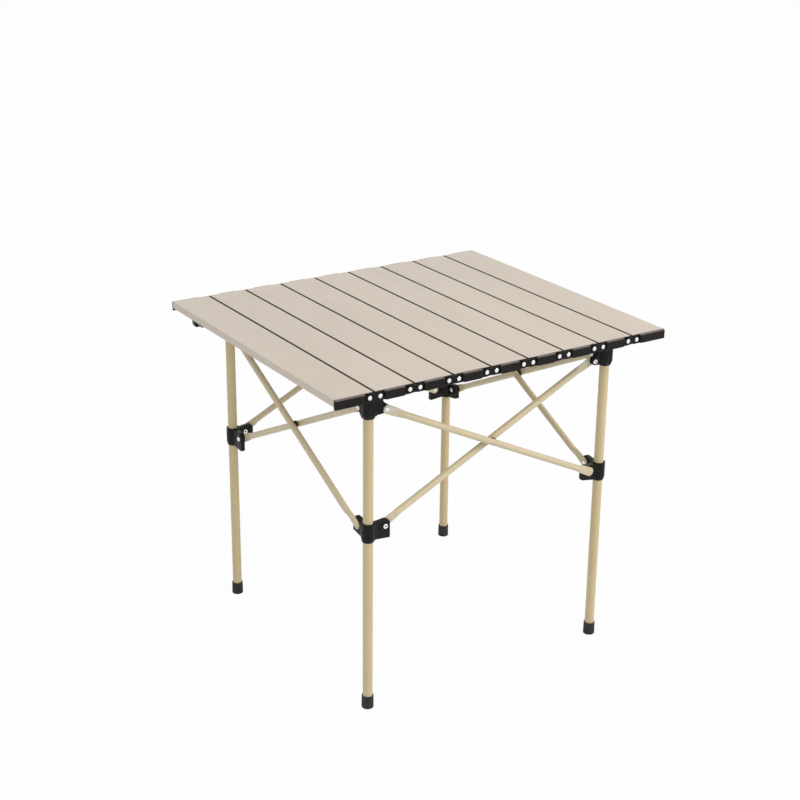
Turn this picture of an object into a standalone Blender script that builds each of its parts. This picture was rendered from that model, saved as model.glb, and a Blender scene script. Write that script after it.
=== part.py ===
"""Folding camp table: a roll-up slatted top on a square scissor frame.

Nine channel slats with plastic end caps are chained by riveted link plates.
They rest on four corner brackets, one on each tubular leg. Two crossed bars
join each pair of neighbouring legs. Their lower ends sit on sleeves that
slide along the legs, so the whole frame closes into a bundle.

Units are metres, +Z is up, and the origin is on the floor under the middle.
The slats run along Y and are counted from left to right along X.
"""

import math

import bmesh
import bpy
from mathutils import Matrix, Vector

# Overall sizes
top_width = 0.700
top_depth = 0.616
table_height = 0.628

# Slats
slat_count = 9
seam_gap = 0.0035
slat_height = 0.0135
slat_wall = 0.0012
slat_lip = 0.014

# End caps, and the tabs that locate the top on the frame
cap_height = 0.018
cap_face = 0.005
cap_chamfer = 0.0035
cap_bar_clearance = 0.001083
cap_recess_depth = 0.0037
cap_linked_corner = 0.0035
cap_free_corner = 0.001
cap_plug_length = 0.016
cap_plug_root = 0.00125
tab_width = 0.024
tab_thickness = 0.004
tab_drop = 0.008

# The tabs are on the slats this many places from the middle one, and the legs stand
# inside the outer edges of those slats
carrier_offset = 3
leg_inset = 0.016833

# Link plates and their rivets
link_pivot_spacing = 0.020
link_plate_height = 0.014
link_plate_thickness = 0.002
link_pin_radius = 0.0016
link_pin_depth = 0.008
link_head_radius = 0.004
link_head_height = 0.0014

# Rivet heads, as shares of their radius and height from the top of the dome down
dome_crown = (0.62, 0.82)
dome_rim = 0.25
tail_crown = 0.8

# Legs and feet
leg_radius = 0.009
leg_wall = 0.001
foot_radius = 0.011
foot_height = 0.025
foot_floor = 0.004
foot_edge = 0.0014

# Corner brackets and sliding sleeves
hub_half_width = 0.0135
hub_corner_cut = 0.007
hub_neck_half_width = 0.0108
bracket_below_pivot = 0.011
bracket_neck_height = 0.008
bracket_roof = 0.005
bracket_lug_above = 0.0095
bracket_lug_below = 0.0085
bracket_lug_corner = 0.0075
bracket_lug_margin = 0.0085
sleeve_radius = 0.0125
sleeve_neck_radius = 0.0108
sleeve_above_pivot = 0.0135
sleeve_below_pivot = 0.0195
sleeve_neck_height = 0.008
sleeve_lug_reach = 0.0425
sleeve_lug_above = 0.015
sleeve_lug_below = 0.0185
sleeve_lug_top_corner = 0.006
sleeve_lug_bottom_corner = 0.0025
lug_thickness = 0.009
lug_root_drop = 0.003

# Scissor bars
start_pivot_offset = 0.033
end_pivot_offset = 0.0255
top_pivot_drop = 0.056
sleeve_pivot_height = 0.353
bar_radius = 0.0065
bar_wall = 0.001
bar_flat_half_width = 0.0085
bar_flat_neck_half_width = 0.0075
bar_flat_thickness = 0.003
bar_flat_length = 0.022
bar_end_arc = 75
bar_taper_length = 0.018
crossing_gap = 0.003
bar_pin_radius = 0.0023
bar_head_radius = 0.0046
bar_head_height = 0.0018
bar_tail_height = 0.0013
centre_head_radius = 0.0036
centre_head_height = 0.0009
spacer_radius = 0.0085
drain_radius = 0.0012

# Strap under the first slat, which holds the rolled top
strap_width = 0.010
strap_thickness = 0.0014
strap_span = 0.044
strap_sag = 0.005
strap_end_inset = 0.0727
strap_edge_offset = 0.012
strap_clip_length = 0.011
strap_clip_width = 0.014
strap_clip_height = 0.010
strap_clip_wall = 0.006
strap_clip_inset = 0.0021

# Clearances
fit_gap = 0.0003
pin_clearance = 0.0003
sleeve_clearance = 0.0005

# Roundness
tube_sides = 16
bar_sides = 12
pin_sides = 10
arc_steps = 5
strap_steps = 8
smooth_angle = 40

# Places worked out from the sizes above
pitch = (top_width + seam_gap) / slat_count
slat_width = pitch - seam_gap
slat_length = top_depth - 2 * (cap_face + fit_gap)
slat_underside = table_height - slat_height
cap_bar_width = pitch - link_pivot_spacing - link_plate_height - 2 * cap_bar_clearance
pivot_drop = cap_height / 2
link_plate_back = top_depth / 2 - cap_recess_depth + fit_gap
link_plate_front = link_plate_back + link_plate_thickness
corner = (carrier_offset + 0.5) * pitch - seam_gap / 2 - leg_inset
bracket_top = slat_underside - fit_gap
lug_half = lug_thickness / 2
tube_offset = bar_radius + crossing_gap / 2
flat_offset = lug_half + fit_gap + bar_flat_thickness / 2
top_pivot_height = table_height - top_pivot_drop
pivot_span = 2 * corner - start_pivot_offset - end_pivot_offset
pivot_fall = top_pivot_height - sleeve_pivot_height
bar_length = math.hypot(pivot_span, pivot_fall)
bar_angle = math.atan2(pivot_fall, pivot_span)
crossing_along = start_pivot_offset + pivot_span / 2 - corner
crossing_height = (top_pivot_height + sleeve_pivot_height) / 2
strap_far_end = slat_length / 2 - strap_end_inset
middle_slat = (slat_count + 1) // 2

side_names = ("front", "right", "back", "left")
corner_names = ("front_left", "front_right", "back_right", "back_left")
corner_signs = ((-1, -1), (1, -1), (1, 1), (-1, 1))

# Finishes: colour as seen under even light, roughness and metallic share
slat_finish = ((0.60, 0.55, 0.45), 0.35, 0.3)
tube_finish = ((0.56, 0.48, 0.30), 0.4, 0.2)
plastic_finish = ((0.02, 0.02, 0.02), 0.35, 0)
link_finish = ((0.02, 0.02, 0.02), 0.4, 0.1)
rubber_finish = ((0.035, 0.035, 0.035), 0.7, 0)
strap_finish = ((0.45, 0.36, 0.32), 0.8, 0)


def empty_scene():
    """Remove every object of the scene."""
    for item in list(bpy.data.objects):
        bpy.data.objects.remove(item, do_unlink=True)


def mesh_from(bm, name):
    """Turn a bmesh into a mesh whose faces point out."""
    bmesh.ops.recalc_face_normals(bm, faces=bm.faces)
    mesh = bpy.data.meshes.new(name)
    bm.to_mesh(mesh)
    bm.free()
    return mesh


def loft(rings, name):
    """Skin a row of rings, each with as many points, and close both ends."""
    bm = bmesh.new()
    loops = [[bm.verts.new(point) for point in ring] for ring in rings]
    for first, second in zip(loops, loops[1:]):
        for index in range(len(first)):
            following = (index + 1) % len(first)
            bm.faces.new((first[index], first[following], second[following], second[index]))
    bm.faces.new(reversed(loops[0]))
    bm.faces.new(loops[-1])
    return mesh_from(bm, name)


def plate(outline, direction, name):
    """Extrude a flat outline by a vector."""
    bm = bmesh.new()
    face = bm.faces.new([bm.verts.new(point) for point in outline])
    grown = bmesh.ops.extrude_face_region(bm, geom=[face])
    moved = [item for item in grown["geom"] if isinstance(item, bmesh.types.BMVert)]
    bmesh.ops.translate(bm, verts=moved, vec=direction)
    return mesh_from(bm, name)


def block(low, high, name):
    """Box between two corners."""
    outline = [(low[0], low[1], low[2]), (high[0], low[1], low[2]),
               (high[0], high[1], low[2]), (low[0], high[1], low[2])]
    return plate(outline, (0, 0, high[2] - low[2]), name)


def turned(profile, sides, name, closed=False):
    """Spin a profile of (radius, height) points round Z."""
    bm = bmesh.new()
    points = [bm.verts.new((radius, 0, height)) for radius, height in profile]
    pairs = list(zip(points, points[1:]))
    if closed:
        pairs.append((points[-1], points[0]))
    edges = [bm.edges.new(pair) for pair in pairs]
    bmesh.ops.spin(bm, geom=points + edges, cent=(0, 0, 0), axis=(0, 0, 1),
                   angle=math.tau, steps=sides, use_merge=True)
    bmesh.ops.remove_doubles(bm, verts=bm.verts, dist=1e-6)
    return mesh_from(bm, name)


def mirrored_mesh(mesh, name):
    """Copy of a mesh mirrored front to back."""
    copy = mesh.copy()
    copy.name = name
    copy.transform(Matrix.Scale(-1, 4, (0, 1, 0)))
    copy.flip_normals()
    return copy


def carved(base, additions, cuts, name):
    """Join solids to a base and cut others out of it."""
    target = bpy.data.objects.new(name, base)
    bpy.context.collection.objects.link(target)
    helpers = []
    steps = [("UNION", mesh) for mesh in additions] + [("DIFFERENCE", mesh) for mesh in cuts]
    for operation, mesh in steps:
        helper = bpy.data.objects.new("helper", mesh)
        helper.hide_render = True
        helper.display_type = "WIRE"
        bpy.context.collection.objects.link(helper)
        helpers.append(helper)
        modifier = target.modifiers.new(operation.lower(), "BOOLEAN")
        modifier.operation = operation
        modifier.solver = "EXACT"
        modifier.object = helper
    graph = bpy.context.evaluated_depsgraph_get()
    result = bpy.data.meshes.new_from_object(target.evaluated_get(graph))
    result.name = name
    for item in helpers + [target]:
        bpy.data.objects.remove(item, do_unlink=True)
    return result


def pin_cutter(radius, low, high, centre, axis):
    """Round cutter along X or Y between two distances."""
    mesh = turned([(0, low), (radius, low), (radius, high), (0, high)], pin_sides, "cutter")
    turn = Matrix.Rotation(math.pi / 2, 4, "Y") if axis == "X" else Matrix.Rotation(-math.pi / 2, 4, "X")
    mesh.transform(Matrix.Translation(centre) @ turn)
    return mesh


def add_material(item, colour, roughness, metallic):
    """Give an object a material of its own."""
    material = bpy.data.materials.new(item.name + "_finish")
    material.use_nodes = True
    shader = material.node_tree.nodes["Principled BSDF"]
    shader.inputs["Base Color"].default_value = (*colour, 1)
    shader.inputs["Roughness"].default_value = roughness
    shader.inputs["Metallic"].default_value = metallic
    item.data.materials.clear()
    item.data.materials.append(material)


def add_piece(name, mesh, finish, axis, matrix, smooth=False):
    """Add one named piece at its place in the world, carried by an axis empty."""
    item = bpy.data.objects.new(name, mesh.copy())
    bpy.context.collection.objects.link(item)
    item.parent = axis
    item.matrix_local = axis.matrix_world.inverted() @ matrix
    if smooth:
        item.data.shade_smooth()
        item.data.set_sharp_from_angle(angle=math.radians(smooth_angle))
    add_material(item, *finish)
    return item


def add_axis(name, place, parent=None):
    """Add an empty on the axis of a moving body."""
    axis = bpy.data.objects.new("axis_" + name, None)
    axis.empty_display_size = 0.02
    bpy.context.collection.objects.link(axis)
    if parent:
        axis.parent = parent
        axis.location = Vector(place) - parent.matrix_world.translation
    else:
        axis.location = place
    bpy.context.view_layer.update()
    return axis


def on_side(side, along, outward, height):
    """World place on a side of the frame, measured from that side's middle."""
    local = Vector((along, -corner - outward, height))
    return Matrix.Rotation(side * math.pi / 2, 4, "Z") @ local


def corner_matrix(index, height):
    """Place and turn of whatever sits on a leg."""
    sign_x, sign_y = corner_signs[index]
    place = Matrix.Translation((sign_x * corner, sign_y * corner, height))
    return place @ Matrix.Rotation(index * math.pi / 2, 4, "Z")


def round_section(radius):
    """Ring of (across, up) points of a round tube."""
    angles = [math.tau * (step + 0.5) / bar_sides for step in range(bar_sides)]
    return [(radius * math.cos(angle), radius * math.sin(angle)) for angle in angles]


def flat_section(half_width):
    """Ring of (across, up) points of a pressed tube, matched to the round one."""
    crest = math.cos(math.pi / bar_sides)
    ring = []
    for across, up in round_section(1):
        side = math.copysign(bar_flat_thickness / 2, across)
        ring.append((side, half_width * up / crest))
    return ring


def tube_mesh():
    """Tube along X whose ends are pressed flat and rounded, with a drain hole to its bore."""
    shift = tube_offset - flat_offset
    half = bar_length / 2
    stations = []
    for step in range(arc_steps - 1, -1, -1):
        angle = math.radians(bar_end_arc) * step / (arc_steps - 1)
        reach = bar_flat_half_width * math.sin(angle)
        width = bar_flat_half_width * math.cos(angle)
        stations.append((half + reach, shift, flat_section(width)))
    stations.append((half - bar_flat_length, shift, flat_section(bar_flat_neck_half_width)))
    taper_end = half - bar_flat_length - bar_taper_length
    stations.append((taper_end, 0, round_section(bar_radius)))
    rings = []
    for place, offset, section in stations:
        rings.append([(-place, across + offset, up) for across, up in section])
    for place, offset, section in reversed(stations):
        rings.append([(place, across + offset, up) for across, up in section])
    skin = loft(rings, "bar_skin")
    bore_ring = round_section(bar_radius - bar_wall)
    bore = loft([[(place, across, up) for across, up in bore_ring]
                 for place in (-taper_end, taper_end)], "bar_bore")
    drain = pin_cutter(drain_radius, 0, 2 * bar_radius, (taper_end - bar_taper_length, 0, 0), "Y")
    hollow = carved(bore, [drain], [], "bar_hollow")
    return carved(skin, [], [hollow], "tube")


def rivet_mesh(radius, under, length, head_radius, head_height, tail_radius, tail_height):
    """Rivet along +Y: domed head before 'under', shank, and a formed tail."""
    far = under + length
    crown_radius, crown_height = dome_crown
    profile = [(0, under - head_height),
               (head_radius * crown_radius, under - head_height * crown_height),
               (head_radius, under - head_height * dome_rim), (head_radius, under), (radius, under),
               (radius, far)]
    if tail_radius > radius:
        profile += [(tail_radius, far), (tail_radius * tail_crown, far + tail_height)]
    profile.append((0, far + tail_height))
    mesh = turned(profile, pin_sides, "rivet")
    mesh.transform(Matrix.Rotation(-math.pi / 2, 4, "X"))
    return mesh


def end_rivets():
    """Rivets at both ends of a bar, each through the pressed end and its lug."""
    flat_face = tube_offset - flat_offset - bar_flat_thickness / 2
    length = tube_offset + lug_half + fit_gap - flat_face
    rivets = []
    for end in (-1, 1):
        rivet = rivet_mesh(bar_pin_radius, flat_face, length, bar_head_radius, bar_head_height,
                           bar_head_radius, bar_tail_height)
        rivet.transform(Matrix.Translation((end * bar_length / 2, 0, 0)))
        rivets.append(rivet)
    return rivets


def centre_rivet():
    """Long rivet through both bars where they cross, with the spacer between them."""
    length = 2 * (tube_offset + bar_radius) + fit_gap
    rivet = rivet_mesh(bar_pin_radius, -bar_radius, length, centre_head_radius, centre_head_height,
                       centre_head_radius, centre_head_height)
    low = bar_radius - bar_wall
    high = bar_radius + crossing_gap - fit_gap
    spacer = turned([(0, low), (spacer_radius, low), (spacer_radius, high), (0, high)],
                    tube_sides, "spacer")
    spacer.transform(Matrix.Rotation(-math.pi / 2, 4, "X"))
    return [rivet, spacer]


def outer_bar_mesh():
    """Outer bar of a side, which holds the centre rivet."""
    return carved(tube_mesh(), end_rivets() + centre_rivet(), [], "outer_bar")


def inner_bar_mesh():
    """Inner bar of a side, which turns on the centre rivet."""
    reach = 2 * bar_radius
    hole = pin_cutter(bar_pin_radius + pin_clearance, -reach, reach, (0, 0, 0), "Y")
    return carved(tube_mesh(), end_rivets(), [hole], "inner_bar")


def hub_ring(half_width, height):
    """Square ring with cut corners."""
    cut = hub_corner_cut * half_width / hub_half_width
    near = half_width - cut
    corners = [(half_width, -near), (half_width, near), (near, half_width), (-near, half_width),
               (-half_width, near), (-half_width, -near), (-near, -half_width), (near, -half_width)]
    return [(x, y, height) for x, y in corners]


def arc_points(centre, radius, first, last):
    """Points along an arc between two angles in degrees."""
    points = []
    for step in range(arc_steps):
        angle = math.radians(first + (last - first) * step / (arc_steps - 1))
        points.append((centre[0] + radius * math.cos(angle), centre[1] + radius * math.sin(angle)))
    return points


def lug_outline(reach, low, high, corner_low, corner_high, root_high):
    """Side view of a lug as (along, up) points, with its two outer corners rounded."""
    outline = [(0, -low)]
    outline += arc_points((reach - corner_low, corner_low - low), corner_low, -90, 0)
    outline += arc_points((reach - corner_high, high - corner_high), corner_high, 0, 90)
    outline.append((hub_half_width + lug_root_drop, root_high))
    outline.append((0, root_high))
    return outline


def hub_mesh(body, bore, outline_x, outline_y, name):
    """Block round a leg with one lug along +X and one along +Y, pivot height at Z = 0."""
    lug_x = plate([(along, -lug_half, up) for along, up in outline_x], (0, lug_thickness, 0), "lug")
    lug_y = plate([(-lug_half, along, up) for along, up in outline_y], (lug_thickness, 0, 0), "lug")
    hole = bar_pin_radius + pin_clearance
    pin_x = pin_cutter(hole, -lug_thickness, lug_thickness, (start_pivot_offset, 0, 0), "Y")
    pin_y = pin_cutter(hole, -lug_thickness, lug_thickness, (0, end_pivot_offset, 0), "X")
    return carved(body, [lug_x, lug_y], [bore, pin_x, pin_y], name)


def bore_mesh(radius, low, high):
    """Round cutter for the hole that a leg stands or slides in."""
    return turned([(0, low), (radius, low), (radius, high), (0, high)], tube_sides, "bore")


def bracket_mesh():
    """Corner bracket that closes the top of a leg and carries the slats."""
    top = bracket_top - top_pivot_height
    bottom = -bracket_below_pivot
    stations = [(hub_neck_half_width, bottom), (hub_half_width, bottom + bracket_neck_height),
                (hub_half_width, top)]
    body = loft([hub_ring(half_width, height) for half_width, height in stations], "bracket_body")
    outlines = []
    for pivot in (start_pivot_offset, end_pivot_offset):
        outlines.append(lug_outline(pivot + bracket_lug_margin, bracket_lug_below, bracket_lug_above,
                                    bracket_lug_corner, bracket_lug_corner, bracket_lug_above))
    bore = bore_mesh(leg_radius + fit_gap, bottom - leg_radius, top - bracket_roof)
    return hub_mesh(body, bore, *outlines, "top_bracket")


def sleeve_mesh():
    """Sleeve that slides along a leg."""
    bottom = -sleeve_below_pivot
    profile = [(0, bottom), (sleeve_neck_radius, bottom), (sleeve_radius, bottom + sleeve_neck_height),
               (sleeve_radius, sleeve_above_pivot), (0, sleeve_above_pivot)]
    body = turned(profile, tube_sides, "sleeve_body")
    outline = lug_outline(sleeve_lug_reach, sleeve_lug_below, sleeve_lug_above, sleeve_lug_bottom_corner,
                          sleeve_lug_top_corner, sleeve_above_pivot - lug_root_drop)
    bore = bore_mesh(leg_radius + sleeve_clearance, bottom - leg_radius, sleeve_above_pivot + leg_radius)
    return hub_mesh(body, bore, outline, outline, "sliding_sleeve")


def leg_mesh():
    """Leg tube from inside the foot to inside the corner bracket."""
    low = foot_floor + fit_gap
    high = bracket_top - bracket_roof - fit_gap
    inner = leg_radius - leg_wall
    profile = [(inner, low), (leg_radius, low), (leg_radius, high), (inner, high)]
    return turned(profile, tube_sides, "leg", closed=True)


def foot_mesh():
    """Rubber cup under a leg."""
    socket = leg_radius + fit_gap
    profile = [(0, foot_floor), (socket, foot_floor), (socket, foot_height),
               (foot_radius - foot_edge / 2, foot_height), (foot_radius, foot_height - foot_edge),
               (foot_radius, foot_height / 2), (foot_radius - foot_edge / 2, foot_edge),
               (foot_radius - foot_edge, 0), (0, 0)]
    return turned(profile, tube_sides, "foot")


def mirrored_outline(right_side):
    """Complete an outline of (across, up) points from its right half."""
    return right_side + [(-across, up) for across, up in reversed(right_side)]


def slat_mesh():
    """Channel slat along Y, open below, with its top face at Z = 0."""
    half = slat_width / 2
    inner = half - slat_wall
    floor = slat_wall - slat_height
    right = [(half, 0), (half, -slat_height), (half - slat_lip, -slat_height),
             (half - slat_lip, floor), (inner, floor), (inner, -slat_wall)]
    outline = [(across, -slat_length / 2, up) for across, up in mirrored_outline(right)]
    return plate(outline, (0, slat_length, 0), "slat")


def cap_outline(depth, top, linked_sides):
    """Face outline of an end cap, whose lower corners are cut to clear the next cap."""
    half = slat_width / 2
    outline = []
    for side in (1, -1):
        corner_cut = cap_linked_corner if side in linked_sides else cap_free_corner
        points = [(side * half, depth, top), (side * half, depth, corner_cut - cap_height),
                  (side * (half - corner_cut), depth, -cap_height)]
        outline += points if side == 1 else reversed(points)
    return outline


def tab_meshes(side, face_back, low, high):
    """Tab that hangs outside a corner bracket, and the tongue that joins it to the plug."""
    outer = slat_width / 2 - slat_lip - 2 * fit_gap
    limits = sorted((side * outer, side * (outer - tab_width)))
    tab_face = -corner - hub_half_width - 2 * fit_gap
    tongue = block((limits[0], face_back, low), (limits[1], tab_face, high), "tongue")
    tab = block((limits[0], tab_face - tab_thickness, -slat_height - tab_drop),
                (limits[1], tab_face, high), "tab")
    return [tongue, tab]


def cap_mesh(linked_sides, tab_side):
    """Front end cap of a slat, with a recess and pin hole on each linked side."""
    face = -top_depth / 2
    back = face + cap_face
    rings = [cap_outline(back, 0, linked_sides), cap_outline(face + cap_chamfer, 0, linked_sides),
             cap_outline(face, -cap_chamfer, linked_sides)]
    body = loft(rings, "cap_face")
    plug_half = slat_width / 2 - slat_wall - fit_gap
    plug_top = -slat_wall - fit_gap
    plug_bottom = slat_wall + fit_gap - slat_height
    plug_start = back - cap_plug_root
    additions = [block((-plug_half, plug_start, plug_bottom),
                       (plug_half, back + cap_plug_length, plug_top), "plug")]
    if tab_side:
        additions += tab_meshes(tab_side, plug_start, plug_bottom, (plug_top + plug_bottom) / 2)
    cuts = []
    for side in linked_sides:
        limits = sorted((side * cap_bar_width / 2, side * slat_width))
        cuts.append(block((limits[0], face - cap_recess_depth, -2 * cap_height),
                          (limits[1], face + cap_recess_depth, cap_height), "recess"))
        place = side * (pitch - link_pivot_spacing) / 2
        depth = cap_recess_depth + link_pin_depth + fit_gap
        cuts.append(pin_cutter(link_pin_radius + pin_clearance, -cap_face, depth,
                               (place, face, -pivot_drop), "Y"))
    return carved(body, additions, cuts, "end_cap")


def front_cap(number):
    """Front end cap of a numbered slat."""
    sides = []
    if number > 1:
        sides.append(-1)
    if number < slat_count:
        sides.append(1)
    offset = number - middle_slat
    tab_side = math.copysign(1, offset) if abs(offset) == carrier_offset else 0
    return cap_mesh(sides, tab_side)


def link_mesh():
    """Link plate across a seam with its two rivets, centred on the seam."""
    radius = link_plate_height / 2
    half = link_pivot_spacing / 2
    outline = []
    for end in (1, -1):
        for step in range(arc_steps + 1):
            angle = math.pi * (step / arc_steps - 0.5)
            outline.append((end * (half + radius * math.cos(angle)), -link_plate_front,
                            end * radius * math.sin(angle)))
    base = plate(outline, (0, link_plate_thickness, 0), "link")
    length = link_plate_thickness + fit_gap + link_pin_depth
    rivets = []
    for end in (-1, 1):
        rivet = rivet_mesh(link_pin_radius, -link_plate_front, length, link_head_radius,
                           link_head_height, 0, 0)
        rivet.transform(Matrix.Translation((end * half, 0, 0)))
        rivets.append(rivet)
    return carved(base, rivets, [], "link_plate")


def add_leg(index, axis):
    """Leg, foot and corner bracket of one corner."""
    name = corner_names[index]
    upright = corner_matrix(index, 0)
    add_piece("leg_" + name, leg_mesh(), tube_finish, axis, upright, True)
    add_piece("foot_" + name, foot_mesh(), rubber_finish, axis, upright, True)
    bracket_place = corner_matrix(index, top_pivot_height)
    add_piece("top_bracket_" + name, bracket_mesh(), plastic_finish, axis, bracket_place)


def add_sleeve(index, axis):
    """Sliding sleeve of one corner."""
    place = corner_matrix(index, sleeve_pivot_height)
    name = "sliding_sleeve_" + corner_names[index]
    add_piece(name, sleeve_mesh(), plastic_finish, axis, place, True)


def add_bar(side, outer, axis):
    """One scissor bar of a side."""
    sign = 1 if outer else -1
    centre = on_side(side, crossing_along, sign * tube_offset, crossing_height)
    turn = Matrix.Rotation(side * math.pi / 2, 4, "Z") @ Matrix.Rotation(sign * bar_angle, 4, "Y")
    if not outer:
        turn = turn @ Matrix.Rotation(math.pi, 4, "X")
    place = Matrix.Translation(centre) @ turn
    mesh = outer_bar_mesh() if outer else inner_bar_mesh()
    name = side_names[side] + ("_outer_bar" if outer else "_inner_bar")
    add_piece(name, mesh, tube_finish, axis, place, True)


def start_top(side):
    """Upper pivot at the corner where a side starts."""
    return on_side(side, start_pivot_offset - corner, 0, top_pivot_height)


def end_top(side):
    """Upper pivot at the corner where a side ends."""
    return on_side(side, corner - end_pivot_offset, 0, top_pivot_height)


def start_sleeve(side):
    """Lower pivot at the corner where a side starts."""
    return on_side(side, start_pivot_offset - corner, 0, sleeve_pivot_height)


def end_sleeve(side):
    """Lower pivot at the corner where a side ends."""
    return on_side(side, corner - end_pivot_offset, 0, sleeve_pivot_height)


def crossing(side):
    """Pivot where the two bars of a side cross."""
    return on_side(side, crossing_along, 0, crossing_height)


def add_frame(root):
    """Legs, sleeves and bars, hung on one another from the front left leg."""
    add_leg(0, root)

    front_outer = add_axis("front_outer_bar", start_top(0), root)
    add_bar(0, True, front_outer)
    front_inner = add_axis("front_inner_bar", crossing(0), front_outer)
    add_bar(0, False, front_inner)
    front_right = add_axis("leg_front_right", end_top(0), front_inner)
    add_leg(1, front_right)
    add_sleeve(0, add_axis("sleeve_front_left", start_sleeve(0), front_inner))
    add_sleeve(1, add_axis("sleeve_front_right", end_sleeve(0), front_outer))

    right_outer = add_axis("right_outer_bar", start_top(1), front_right)
    add_bar(1, True, right_outer)
    right_inner = add_axis("right_inner_bar", crossing(1), right_outer)
    add_bar(1, False, right_inner)
    back_right = add_axis("leg_back_right", end_top(1), right_inner)
    add_leg(2, back_right)
    add_sleeve(2, add_axis("sleeve_back_right", end_sleeve(1), right_outer))

    left_inner = add_axis("left_inner_bar", end_top(3), root)
    add_bar(3, False, left_inner)
    left_outer = add_axis("left_outer_bar", crossing(3), left_inner)
    add_bar(3, True, left_outer)
    back_left = add_axis("leg_back_left", start_top(3), left_outer)
    add_leg(3, back_left)
    add_sleeve(3, add_axis("sleeve_back_left", start_sleeve(3), left_inner))

    back_outer = add_axis("back_outer_bar", start_top(2), back_right)
    add_bar(2, True, back_outer)
    back_inner = add_axis("back_inner_bar", crossing(2), back_outer)
    add_bar(2, False, back_inner)


def slat_place(number):
    """Middle of one slat's top face across the table."""
    return (number - middle_slat) * pitch


def add_slat(number, axis):
    """One slat with its two end caps."""
    place = Matrix.Translation((slat_place(number), 0, table_height))
    add_piece(f"slat_{number}", slat_mesh(), slat_finish, axis, place)
    front = front_cap(number)
    back = mirrored_mesh(front, "back_cap")
    add_piece(f"front_end_cap_{number}", front, plastic_finish, axis, place)
    add_piece(f"back_end_cap_{number}", back, plastic_finish, axis, place)


def add_strap(axis):
    """Strap with a moulded clip at its far end, under the first slat."""
    across = slat_place(1) - slat_width / 2 + strap_edge_offset
    high = slat_underside - fit_gap
    sections = []
    for step in range(strap_steps + 1):
        share = step / strap_steps
        along = strap_far_end - strap_span * share
        low = high - strap_thickness - strap_sag * math.sin(math.pi * share)
        sections.append([(across - strap_width / 2, along, low),
                         (across + strap_width / 2, along, low),
                         (across + strap_width / 2, along, low + strap_thickness),
                         (across - strap_width / 2, along, low + strap_thickness)])
    half = strap_clip_width / 2
    clip_start = strap_far_end - strap_thickness
    clip_end = strap_far_end + strap_clip_length
    clip = []
    for drop, inset in ((0, 0), (strap_clip_wall, 0), (strap_clip_height, strap_clip_inset)):
        level = high - drop
        clip.append([(across - half + inset, clip_start, level),
                     (across + half - inset, clip_start, level),
                     (across + half - inset, clip_end - inset, level),
                     (across - half + inset, clip_end - inset, level)])
    mesh = carved(loft(clip, "clip"), [loft(sections, "band")], [], "roll_strap")
    add_piece("roll_strap", mesh, strap_finish, axis, Matrix.Identity(4))


def add_top(root):
    """Middle slat on its lift axis, and the chain of links and slats on both sides."""
    middle = add_axis("middle_slat", (slat_place(middle_slat), 0, table_height), root)
    add_slat(middle_slat, middle)
    height = table_height - pivot_drop
    half = link_pivot_spacing / 2
    for direction, last in ((1, slat_count), (-1, 1)):
        carrier = middle
        for number in range(middle_slat, last, direction):
            seam = slat_place(number) + direction * pitch / 2
            link_number = min(number, number + direction)
            link_axis = add_axis(f"link_{link_number}", (seam - direction * half, 0, height), carrier)
            seam_place = Matrix.Translation((seam, 0, height))
            add_piece(f"front_link_{link_number}", link_mesh(), link_finish, link_axis,
                      seam_place)
            next_number = number + direction
            carrier = add_axis(f"slat_{next_number}", (seam + direction * half, 0, height), link_axis)
            add_slat(next_number, carrier)
    return carrier


def build_table():
    """Build the whole table."""
    empty_scene()
    root = add_axis("front_left_leg", (-corner, -corner, 0))
    add_frame(root)
    first_slat = add_top(root)
    add_strap(first_slat)


build_table()
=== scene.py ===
"""Looks of the folding camp table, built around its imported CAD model.

Metres, +Z up, in the same frame as the CAD. Slats run along Y and are counted
from left to right along X.
"""

import math

import bpy
from mathutils import Matrix, Vector


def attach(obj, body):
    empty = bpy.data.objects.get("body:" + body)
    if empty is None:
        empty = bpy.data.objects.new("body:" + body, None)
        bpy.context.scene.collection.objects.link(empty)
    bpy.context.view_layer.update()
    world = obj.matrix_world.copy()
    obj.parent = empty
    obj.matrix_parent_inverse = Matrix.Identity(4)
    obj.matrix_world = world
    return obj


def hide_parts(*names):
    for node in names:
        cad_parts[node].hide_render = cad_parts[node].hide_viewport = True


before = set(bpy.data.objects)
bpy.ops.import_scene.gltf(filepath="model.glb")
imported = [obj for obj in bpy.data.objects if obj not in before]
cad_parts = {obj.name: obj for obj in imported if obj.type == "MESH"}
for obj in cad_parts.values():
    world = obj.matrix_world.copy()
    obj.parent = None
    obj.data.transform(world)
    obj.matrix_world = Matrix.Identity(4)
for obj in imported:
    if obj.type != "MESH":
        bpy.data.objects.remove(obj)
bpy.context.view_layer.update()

# Sizes that the CAD gives
top_width = 0.700
top_depth = 0.616
table_height = 0.628
corner = 0.255
slat_count = 9
seam_gap = 0.0035
slat_height = 0.0135
slat_wall = 0.0012
slat_lip = 0.014
cap_height = 0.018
cap_face = 0.005
cap_bar_width = 0.042
cap_recess_depth = 0.0037
link_spacing = 0.020
link_height = 0.014
link_thickness = 0.002
leg_radius = 0.009
leg_wall = 0.001
foot_radius = 0.011
foot_height = 0.025
foot_floor = 0.004
hub_half = 0.0135
hub_cut = 0.007
hub_neck_half = 0.0108
hub_roof = 0.005
top_pivot_height = 0.572
sleeve_pivot_height = 0.353
start_offset = 0.033
end_offset = 0.0255
lug_half = 0.0045
fit_gap = 0.0003
bar_radius = 0.0065
bar_flat_half_width = 0.0085
bar_flat_half_thickness = 0.0015
crossing_gap = 0.003
pivot_drop = 0.009

# Sizes of the bars that follow the photograph more closely than the CAD
bar_tube_radius = 0.0060
bar_end_reach = 0.0066

# How far a rivet reaches into what it sits on
sink = 0.0004

# Sides of the round shapes
round_sides = 48
rivet_sides = 32

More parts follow.
